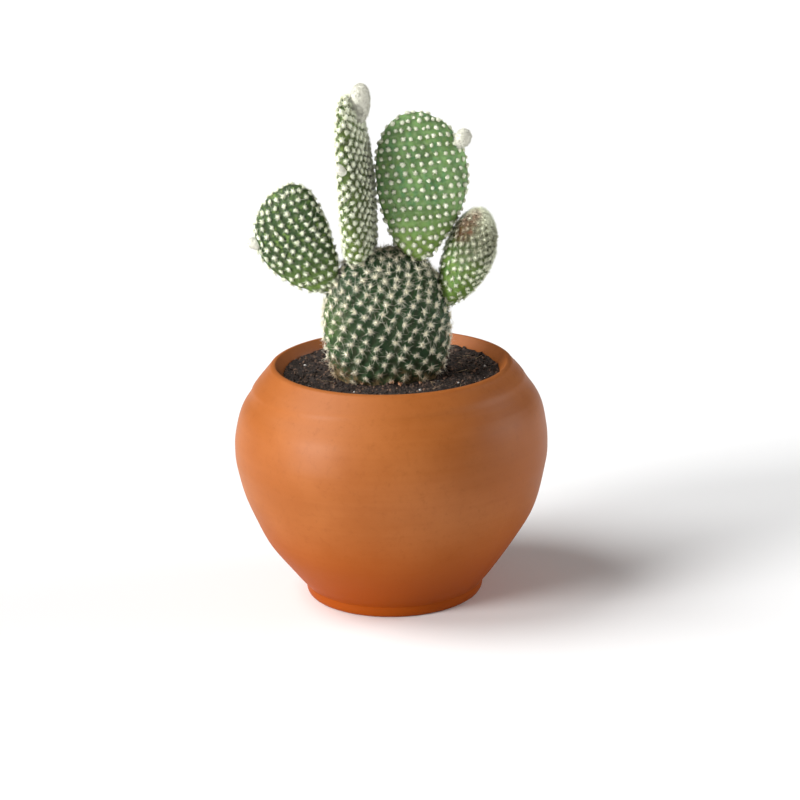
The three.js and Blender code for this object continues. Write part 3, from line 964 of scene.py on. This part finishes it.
def scattered_lumps(name, rng, count, sizes, material, shape, unevenness):
    """Many knobbly lumps in one mesh, each half sunk where it lies."""
    places = spread_on_soil(count, rng)
    sizes = rng.uniform(*sizes, count) ** unevenness
    points, faces = lump(*shape)
    knobs = 1 + 0.3 * rng.uniform(-1, 1, (count, len(points), 1))
    stretch = rng.uniform(0.65, 1.2, (count, 1, 3))
    local = points[None] * knobs * stretch * sizes[:, None, None]
    local = np.einsum("nij,nkj->nki", turned(rng, count), local)
    world = (local + places[:, None]).reshape(-1, 3)
    tones = np.repeat(rng.uniform(0, 1, count), len(points))
    return mesh_piece(name, world, repeated(faces, len(points), count), material, tone=tones)


def strands(roots, directions, lengths, widths, curls, levels=1):
    """Tapered three-sided strands: points and faces, with each point's share of the length."""
    directions = unit(directions)
    helper = np.where(np.abs(directions[:, 2:3]) < 0.9, [[0.0, 0.0, 1.0]], [[1.0, 0.0, 0.0]])
    side = unit(np.cross(directions, helper))
    other = np.cross(directions, side)
    corners = [(math.cos(a), math.sin(a)) for a in (0, 2 * math.pi / 3, 4 * math.pi / 3)]
    rings, shares, faces = [], [], [(0, 2, 1)]
    for level in range(levels):
        share = level / levels
        centre = roots + directions * (lengths * share)[:, None] + curls * share**2
        radius = (widths * (1 - 0.75 * share) / 2)[:, None]
        for corner, (cosine, sine) in enumerate(corners):
            rings.append(centre + (side * cosine + other * sine) * radius)
            shares.append(share)
            here, after = 3 * level + corner, 3 * level + (corner + 1) % 3
            if level + 1 < levels:
                faces += [(here, after, after + 3), (here, after + 3, here + 3)]
            else:
                faces.append((here, after, 3 * levels))
    rings.append(roots + directions * lengths[:, None] + curls)
    shares.append(1.0)
    points = np.stack(rings, 1)
    count = len(roots)
    return points.reshape(-1, 3), repeated(faces, len(rings), count), np.tile(shares, count)


def fibre_piece(count, rng):
    """Loose root fibres that lie on the soil, in one mesh."""
    places = spread_on_soil(count, rng, outer=0.96)
    directions = rng.normal(size=(count, 3)) * (1, 1, 0.12)
    lengths = rng.uniform(*FIBRE_LENGTHS, count)
    curls = 0.25 * lengths[:, None] * rng.normal(size=(count, 3)) * (1, 1, 0.15)
    widths = rng.uniform(*FIBRE_WIDTHS, count)
    roots = places + (0, 0, FIBRE_LIFT)
    points, faces, _ = strands(roots, directions, lengths, widths, curls, levels=5)
    tones = np.repeat(rng.uniform(0, 1, count), len(points) // count)
    return mesh_piece("soil_fibres", points, faces, root_fibre(), tone=tones)


def sheet_faces(rows, columns):
    """Quads of a thin sheet: its upper side, its lower side and the rim between them."""
    grid = np.arange(rows * columns).reshape(rows, columns)
    upper = np.stack([grid[:-1, :-1], grid[:-1, 1:], grid[1:, 1:], grid[1:, :-1]], -1).reshape(-1, 4)
    rim = np.array([*grid[0], *grid[1:, -1], *grid[-1, -2::-1], *grid[-2:0:-1, 0]])
    after = np.roll(rim, -1)
    edge = np.stack([after, rim, rim + grid.size, after + grid.size], -1)
    return np.vstack([upper, upper[:, ::-1] + grid.size, edge])


def flake_piece():
    """Thin curled flakes at the main pad's foot, in one mesh."""
    rng = np.random.default_rng(FLAKE_SEED)
    rows, columns = FLAKE_GRID
    across, down = np.meshgrid(np.linspace(-1, 1, columns), np.linspace(-1, 1, rows))
    edge = 1 - 0.35 * (across**2 + down**2)
    curled = np.stack([across * edge, 0.7 * down * edge, 0.45 * across**2 - 0.3 * down**2], -1)
    points, tones = [], []
    for x, y, size, tone in FLAKES:
        sheet = curled.reshape(-1, 3) * size / 2
        sheet[:, 2] += 0.12 * size * ripples(sheet, 1.5, int(10 * size))
        both = np.vstack([sheet, sheet - (0, 0, FLAKE_THICKNESS)])
        tumbled = tone < TUMBLED_TONE
        turn = turned(rng, 1)[0] if tumbled else np.array(Matrix.Rotation(6 * tone, 3, "Z"))
        level = soil_top(np.array([[x, y, 0.0]]))[0]
        points.append(both @ turn.T + (x, y, level + 0.35 * size))
        tones.append(np.full(len(both), tone))
    faces = repeated(sheet_faces(rows, columns), 2 * rows * columns, len(FLAKES))
    return mesh_piece("dry_flakes", np.vstack(points), faces, dry_flake(), tone=np.concatenate(tones))


def running_share(density):
    """The running total of a density as a share of the whole, from 0 to 1."""
    totals = np.concatenate([[0], np.cumsum(density)])
    return totals / totals[-1]


def nearest_of(points, places):
    """For each point the number of the nearest place."""
    squared = (places**2).sum(1)[None] - 2 * points @ places.T
    return squared.argmin(1)


class PadSurface:
    """A pad's surface as a formula, in its own frame and in the part's, in millimetres."""

    def __init__(self, form):
        self.form = form
        self.foot = np.array(form.foot, float)
        rise = Vector(form.tip) - Vector(form.foot)
        self.length = rise.length
        lean = Vector((0, 0, 1)).rotation_difference(rise)
        spin = Quaternion((0, 0, 1), math.radians(form.turn))
        self.rotation = np.array((lean @ spin).to_matrix())
        self.steps = np.linspace(0, 1, TABLE_ROWS + 1)
        middle = (self.steps[1:] + self.steps[:-1]) / 2
        self.height_table = running_share(self.skin_at(middle))
        crosswise = self.slopes(np.full(TABLE_ROWS, 0.5), 2 * math.pi * middle)[1]
        crowding = 1 + form.edge_crowding * np.cos(2 * math.pi * middle) ** 4
        self.turn_table = running_share(np.linalg.norm(crosswise, axis=1) * crowding)

    def fullness(self, along, widest_at):
        power = math.log(0.5) / math.log(widest_at)
        span = np.abs(2 * np.clip(along, 0, 1) ** power - 1)
        return np.clip(1 - span**self.form.bluntness, 0, None) ** (1 / self.form.bluntness)

    def half_sizes(self, along, grow=0.0):
        width = (self.form.half_width + grow) * self.fullness(along, self.form.widest_at)
        thickness = (self.form.half_thickness + grow) * self.fullness(along, self.form.thickest_at)
        return width, thickness

    def bow(self, along):
        arch = 4 * along * (1 - along)
        return self.form.bend[0] * arch, self.form.bend[1] * arch

    def local(self, along, angle):
        width, thickness = self.half_sizes(along)
        across, outward = self.bow(along)
        corner = 2 / SECTION_POWER
        cosine, sine = np.cos(angle), np.sin(angle)
        x = across + width * np.sign(cosine) * np.abs(cosine) ** corner
        y = outward + thickness * np.sign(sine) * np.abs(sine) ** corner
        return np.stack([x, y, along * self.length + 0 * angle], -1)

    def slopes(self, along, angle):
        """How the surface runs up the pad and round it."""
        low = np.clip(along - ALONG_STEP, ALONG_STEP, 1 - 3 * ALONG_STEP)
        lengthwise = self.local(low + 2 * ALONG_STEP, angle) - self.local(low, angle)
        crosswise = self.local(along, angle + ANGLE_STEP) - self.local(along, angle - ANGLE_STEP)
        return lengthwise / (2 * ALONG_STEP), crosswise / (2 * ANGLE_STEP)

    def skin_at(self, along):
        """How much skin the pad has at a share of its length."""
        mean = sum(self.half_sizes(along)) / 2
        widening = sum(self.half_sizes(along + ALONG_STEP)) - sum(self.half_sizes(along - ALONG_STEP))
        return mean * np.hypot(self.length, widening / (4 * ALONG_STEP))

    def world(self, local):
        return local @ self.rotation.T + self.foot

    def points(self, along, angle):
        return self.world(self.local(along, angle))

    def normals(self, along, angle):
        lengthwise, crosswise = self.slopes(along, angle)
        normal = np.cross(crosswise, lengthwise)
        normal /= np.linalg.norm(normal, axis=1)[:, None] + 1e-12
        return normal @ self.rotation.T

    def spread(self, share, around):
        """Where shares of the skin's area, up the pad and round it, lie on the pad."""
        share = share + self.form.tip_crowding * share * (1 - share)
        along = np.interp(share, self.height_table, self.steps)
        return along, 2 * math.pi * np.interp(around, self.turn_table, self.steps)

    def areoles(self):
        """Places on a spiral, a fixed share of a turn apart, each then moved to its cell's middle."""
        count = self.form.areoles
        rng = np.random.default_rng(self.form.seed)
        index = np.arange(count)
        sites = self.points(*self.spread((index + 0.5) / count, (index * self.form.divergence) % 1))
        fine = np.arange(TRIED_PLACES * count)
        tried = self.spread((fine + 0.5) / len(fine), (fine * GOLDEN_SHARE) % 1)
        points = self.points(*tried)
        for _ in range(self.form.evening):
            nearest = nearest_of(points, sites)
            members = np.maximum(np.bincount(nearest, minlength=count), 1)
            sums = [np.bincount(nearest, points[:, axis], count) for axis in range(3)]
            sites = np.stack(sums, 1) / members[:, None]
        chosen = nearest_of(sites, points)
        shift = self.form.jitter * rng.normal(size=(2, count))
        along = np.clip(tried[0][chosen] + shift[0] / self.length, PAD_END, 1 - PAD_END)
        return along, tried[1][chosen] + shift[1] / self.form.half_width

    def holds(self, points, margin):
        """Whether points of the part lie within the pad grown by a margin."""
        local = (points - self.foot) @ self.rotation
        along = (local[:, 2] + margin) / (self.length + 2 * margin)
        width, thickness = self.half_sizes(along, margin)
        across, outward = self.bow(along)
        x = np.abs(local[:, 0] - across) / np.maximum(width, 1e-6)
        y = np.abs(local[:, 1] - outward) / np.maximum(thickness, 1e-6)
        return (along > 0) & (along < 1) & (x**SECTION_POWER + y**SECTION_POWER < 1)


def open_areoles(surface, neighbours):
    """The areoles that show: above the soil and not where another pad or bud grows."""
    along, angle = surface.areoles()
    points = surface.points(along, angle)
    shown = points[:, 2] > soil_top(points) + TUFT_GAP
    for neighbour in neighbours:
        shown &= ~neighbour.holds(points, TUFT_GAP)
    return along[shown], angle[shown], points[shown], surface.normals(along[shown], angle[shown])


def pad_grid(surface, rings, columns):
    """Points over a pad in rings, with its two ends as single points at the last two places."""
    share = (1 - np.cos(np.linspace(0, math.pi, rings + 2)[1:-1])) / 2
    turns = np.interp(np.linspace(0, 1, columns, endpoint=False), surface.turn_table, surface.steps)
    along = np.concatenate([np.repeat(share, columns), [0.0, 1.0]])
    angle = np.concatenate([np.tile(2 * math.pi * turns, rings), [0.0, 0.0]])
    faces = ring_faces(rings, columns, closed=False)
    foot, tip = rings * columns, rings * columns + 1
    last = (rings - 1) * columns
    for column in range(columns):
        after = (column + 1) % columns
        faces.append((foot, after, column))
        faces.append((tip, last + column, last + after))
    return along, angle, faces


def pad_piece(name, surface, areole_points, material):
    """A pad's skin, raised in a low mound under every areole."""
    form = surface.form
    along, angle, faces = pad_grid(surface, *SKIN_GRID)
    points = surface.points(along, angle)
    normals = surface.normals(along, angle)
    normals[-2] = surface.rotation @ (0, 0, -1)
    normals[-1] = surface.rotation @ (0, 0, 1)
    reach = MOUND_REACH * math.sqrt(4 * form.half_width * surface.length / max(1, len(areole_points)))
    mounds, halos = np.zeros(len(points)), np.zeros(len(points))
    for start in range(0, len(points), BATCH):
        part = slice(start, start + BATCH)
        squared = ((points[part, None] - areole_points[None]) ** 2).sum(2)
        mounds[part] = np.exp(-squared / reach**2).sum(1)
        halos[part] = np.exp(-squared / (HALO_SHARE * reach) ** 2).max(1)
    relief = form.tubercle * (np.clip(mounds, 0, MOUND_LIMIT) - MOUND_LIMIT / 2)
    relief += SKIN_WAVES[0] * ripples(points, SKIN_WAVES[1], form.seed)
    points = points + normals * relief[:, None]
    return mesh_piece(f"{name}_skin", points, faces, material, along=along, areole=halos)


def tangents(normals):
    """Two directions along the surface for each normal."""
    upward = np.array([0.0, 0.0, 1.0])
    across = np.cross(np.broadcast_to(upward, normals.shape), normals)
    across[np.linalg.norm(across, axis=1) < 1e-3] = (1.0, 0.0, 0.0)
    across = unit(across)
    return across, np.cross(normals, across)


def fans(points, normals, sizes, rng, per_tuft, spread, lengths, width, inner=0.0, curl=0.0, levels=1):
    """Bristles that fan out of each areole, leaning further from its middle outwards."""
    count = len(points) * per_tuft
    owner = np.repeat(np.arange(len(points)), per_tuft)
    size = sizes[owner]
    across, upward = (side[owner] for side in tangents(normals))
    heading = rng.uniform(0, 2 * math.pi, count)
    lean = np.sqrt(rng.uniform(inner**2, 1, count))
    outward = across * np.cos(heading)[:, None] + upward * np.sin(heading)[:, None]
    roots = points[owner] + outward * (0.5 * size * lean)[:, None]
    tilt = np.radians(spread) * lean * rng.uniform(0.75, 1.15, count)
    direction = normals[owner] * np.cos(tilt)[:, None] + outward * np.sin(tilt)[:, None]
    direction += UNRULY * rng.normal(size=direction.shape)
    length = size * rng.uniform(*lengths, count) * (1 - 0.25 * lean)
    curls = curl * length[:, None] * rng.normal(size=direction.shape)
    widths = np.full(count, width) * rng.uniform(0.8, 1.2, count)
    made, faces, share = strands(roots, direction, length, widths, curls, levels)
    return made, faces, share, np.repeat(owner, len(made) // count)


def felt_domes(points, normals, cushions, rng):
    """The ragged felt cushion of each areole."""
    count = len(points)
    ball, faces = lump(3, 8)
    across, upward = tangents(normals)
    knobs = 1 + 0.45 * rng.uniform(-1, 1, (count, len(ball), 1))
    local = ball[None] * knobs * cushions[:, None, None] * (1.0, 1.0, 0.95)
    axes = np.stack([across, upward, normals], 1)
    world = np.einsum("nki,nij->nkj", local, axes) + points[:, None]
    share = np.clip(0.2 + 0.5 * ball[:, 2], 0, 1)
    owner = np.repeat(np.arange(count), len(ball))
    return world.reshape(-1, 3), repeated(faces, len(ball), count), np.tile(share, count), owner


def joined(parts):
    """One list of points, faces, tones and owners out of several."""
    points, faces, tones, owners = zip(*parts)
    starts = np.cumsum([0, *(len(part) for part in points[:-1])])
    faces = [part + start for part, start in zip(faces, starts)]
    return np.vstack(points), np.vstack(faces), np.concatenate(tones), np.concatenate(owners)


def tuft_piece(name, surface, areoles, material, whiskers):
    """Every tuft of a pad: a felt cushion, fine bristles, a star of thicker ones and a few long ones."""
    form = surface.form
    rng = np.random.default_rng(form.seed)
    along, _, points, normals = areoles
    points = points + 0.3 * form.tubercle * normals
    normals = unit(normals + UNRULY * rng.normal(size=normals.shape))
    fullness = 1 + form.tip_fullness * along**3 + form.foot_fullness * (1 - along) ** 3
    sizes = fullness * rng.uniform(*TUFT_SIZES, len(points))
    tufts = (points, normals, sizes, rng)
    spans = (0.6 * form.bristle_length, form.bristle_length)
    spike_spans = (0.6 * form.spike_length, form.spike_length)
    parts = [
        felt_domes(points, normals, form.cushion * sizes, rng),
        fans(*tufts, form.bristles, BRISTLE_SPREAD, spans, form.bristle_width),
        fans(*tufts, form.spikes, SPIKE_SPREAD, spike_spans, form.spike_width, inner=0.35),
    ]
    if whiskers:
        long_spans = (1.3 * form.spike_length, 2.0 * form.spike_length)
        curled = {"inner": 0.4, "curl": 0.16, "levels": 3}
        parts.append(fans(*tufts, whiskers, WHISKER_SPREAD, long_spans, WHISKER_WIDTH, **curled))
    made, faces, tones, owners = joined(parts)
    variety = rng.uniform(0, 1, len(points))[owners]
    return mesh_piece(f"{name}_tufts", made, faces, material, tone=tones, tuft=variety)


def bud_piece(name, surface, material):
    along, angle, faces = pad_grid(surface, *BUD_GRID)
    points = surface.points(along, angle)
    looks = {"tone": np.full(len(points), 0.9), "tuft": np.full(len(points), 0.2)}
    return mesh_piece(f"{name}_body", points, faces, material, **looks)


def wool_piece(name, surface, material):
    """Soft hairs all over a bud, turned a little upwards."""
    _, _, places, normals = open_areoles(surface, [PadSurface(PADS[surface.form.parent])])
    rng = np.random.default_rng(surface.form.seed)
    lift = unit(normals + (0, 0, 0.5) + 0.3 * rng.normal(size=normals.shape))
    sizes = rng.uniform(0.6, 1.2, len(places))
    hairs = fans(places, lift, sizes, rng, HAIRS, HAIR_SPREAD, HAIR_LENGTHS, HAIR_WIDTH)
    points, faces, tones, owners = hairs
    variety = rng.uniform(0, 1, len(places))[owners]
    return mesh_piece(f"{name}_wool", points, faces, material, tone=tones, tuft=variety)


def all_but(name):
    """The surfaces of all the other pads and of the buds."""
    return [PadSurface(form) for other, form in {**PADS, **BUDS}.items() if other != name]


# Operators

class CACTUS_OT_pot(bpy.types.Operator):
    """Throw the clay pot"""

    bl_idname = "cactus.pot"
    bl_label = "Pot"

    def execute(self, context):
        settle(pot_piece(context.scene.cactus_pot), "pot")
        return {"FINISHED"}


class CACTUS_OT_soil(bpy.types.Operator):
    """Fill the pot with soil, crumbs, white grains and fibres"""

    bl_idname = "cactus.soil"
    bl_label = "Soil"

    def execute(self, context):
        settings = context.scene.cactus_soil
        settle(soil_piece(settings), "soil")
        rng = np.random.default_rng(SOIL_SEED)
        loose = {
            "soil_crumbs": (settings.crumbs, CRUMB_SIZES, crumb(settings), (3, 6), 1.3),
            "perlite_grains": (settings.grains, GRAIN_SIZES, perlite(settings), (4, 8), 1.0),
        }
        for name, making in loose.items():
            settle(scattered_lumps(name, rng, *making))
        settle(fibre_piece(settings.fibres, rng))
        return {"FINISHED"}


class CACTUS_OT_pads(bpy.types.Operator):
    """Grow the pads and set their tufts"""

    bl_idname = "cactus.pads"
    bl_label = "Pads"

    def execute(self, context):
        plant = context.scene.cactus_plant
        looks = {
            "main_pad": ("old_pad_skin", plant.old_skin, plant.old_bristle, 0.0, 8),
            "left_pad": ("grown_pad_skin", plant.grown_skin, plant.bristle, 0.3, 1),
            "tall_pad": ("grown_pad_skin", plant.tall_skin, plant.bristle, 0.4, 0),
            "large_pad": ("large_pad_skin", plant.large_skin, plant.bristle, 0.9, 0),
            "right_pad": ("young_pad_skin", plant.young_skin, plant.bristle, 0.3, 1),
        }
        for name, (slot, skin, bristle, foot_share, whiskers) in looks.items():
            surface = PadSurface(PADS[name])
            areoles = open_areoles(surface, all_but(name))
            old, young, tall = (name == other for other in ("main_pad", "right_pad", "tall_pad"))
            # The tall pad gets painted shade between its tufts on its shaded side
            marks = {"cork": old, "rust": young, "painted_gap_shade": tall}
            skin_look = pad_skin(f"{name}_skin", tuple(skin), plant, foot_share, **marks)
            settle(pad_piece(name, surface, areoles[2], skin_look), name)
            bristles = bristle_bunch(f"{name}_bristles", tuple(bristle), plant, old=old, rust=young)
            settle(tuft_piece(name, surface, areoles, bristles, whiskers))
        return {"FINISHED"}


class CACTUS_OT_buds(bpy.types.Operator):
    """Grow the woolly buds"""

    bl_idname = "cactus.buds"
    bl_label = "Buds"

    def execute(self, context):
        material = bud_wool(context.scene.cactus_plant)
        for name, form in BUDS.items():
            surface = PadSurface(form)
            settle(bud_piece(name, surface, material), name)
            settle(wool_piece(name, surface, material))
        return {"FINISHED"}


class CACTUS_OT_flakes(bpy.types.Operator):
    """Lay the dry flakes at the foot of the main pad"""

    bl_idname = "cactus.flakes"
    bl_label = "Dry flakes"

    def execute(self, context):
        settle(flake_piece())
        return {"FINISHED"}


class CACTUS_OT_stage(bpy.types.Operator):
    """Set the floor, the soft light and the camera"""

    bl_idname = "cactus.stage"
    bl_label = "Stage"

    def execute(self, context):
        settings = context.scene.cactus_stage
        half = FLOOR_HALF_WIDTH
        corners = [(-half, -half, 0), (half, -half, 0), (half, half, 0), (-half, half, 0)]
        floor = mesh_piece("floor", corners, [(0, 1, 2, 3)], plain_floor(settings), smooth=False)
        for name, (share, turn, rise) in LAMPS.items():
            strength = getattr(settings, f"{name}_strength")
            self.light(f"{name}_softbox", strength, share * settings.light_width, turn, rise)
        self.surround(settings.fill)
        self.camera(settings.lens)
        context.scene.view_settings.view_transform = "Standard"
        return {"FINISHED"}

    def light(self, name, strength, width, turn, rise):
        """A far, wide light: turn is in degrees left of the front, rise is in degrees up."""
        lamp = bpy.data.lights.new(name, "SUN")
        lamp.energy = strength
        lamp.angle = width
        holder = bpy.data.objects.new(name, lamp)
        turn, rise = math.radians(turn), math.radians(rise)
        level = math.cos(rise)
        holder.location = (-math.sin(turn) * level, -math.cos(turn) * level, math.sin(rise))
        holder.rotation_euler = (-holder.location).to_track_quat("-Z", "Y").to_euler()
        bpy.context.scene.collection.objects.link(holder)

    def surround(self, strength):
        world = bpy.data.worlds.new("studio")
        world.use_nodes = True
        background = world.node_tree.nodes["Background"]
        background.inputs["Color"].default_value = (1, 1, 1, 1)
        background.inputs["Strength"].default_value = strength
        bpy.context.scene.world = world

    def camera(self, lens):
        pitch, roll = math.radians(CAMERA_PITCH), math.radians(CAMERA_ROLL)
        forward = Vector((0, math.cos(pitch), -math.sin(pitch)))
        side = Vector((1, 0, 0))
        upward = Vector((0, math.sin(pitch), math.cos(pitch)))
        right = math.cos(roll) * side + math.sin(roll) * upward
        top = math.cos(roll) * upward - math.sin(roll) * side
        data = bpy.data.cameras.new("camera")
        data.lens = lens
        data.sensor_width = SENSOR_WIDTH
        data.clip_start = 0.05
        camera = bpy.data.objects.new("camera", data)
        turn = Matrix((right, top, -forward)).transposed().to_4x4()
        camera.matrix_world = Matrix.Translation(CAMERA_PLACE) @ turn
        bpy.context.scene.collection.objects.link(camera)
        bpy.context.scene.camera = camera


class CACTUS_PT_panel(bpy.types.Panel):
    bl_idname = "CACTUS_PT_panel"
    bl_label = "Paddle Cactus"
    bl_space_type = "VIEW_3D"
    bl_region_type = "UI"
    bl_category = "Cactus"

    def draw(self, context):
        for operator in OPERATORS:
            self.layout.operator(operator.bl_idname)
        for key in SETTINGS:
            group = getattr(context.scene, key)
            box = self.layout.box()
            for name in type(group).__annotations__:
                box.prop(group, name)


SETTINGS = {
    "cactus_pot": PotSettings,
    "cactus_soil": SoilSettings,
    "cactus_plant": PlantSettings,
    "cactus_stage": StageSettings,
}
OPERATORS = (
    CACTUS_OT_pot,
    CACTUS_OT_soil,
    CACTUS_OT_pads,
    CACTUS_OT_buds,
    CACTUS_OT_flakes,
    CACTUS_OT_stage,
)


def register():
    for kind in (*SETTINGS.values(), *OPERATORS, CACTUS_PT_panel):
        bpy.utils.register_class(kind)
    for key, group in SETTINGS.items():
        setattr(bpy.types.Scene, key, PointerProperty(type=group))


def unregister():
    for key in SETTINGS:
        delattr(bpy.types.Scene, key)
    for kind in (CACTUS_PT_panel, *OPERATORS[::-1], *list(SETTINGS.values())[::-1]):
        bpy.utils.unregister_class(kind)


def main():
    register()
    bpy.ops.cactus.pot()
    bpy.ops.cactus.soil()
    bpy.ops.cactus.pads()
    bpy.ops.cactus.buds()
    bpy.ops.cactus.flakes()
    bpy.ops.cactus.stage()


if __name__ == "__main__":
    main()
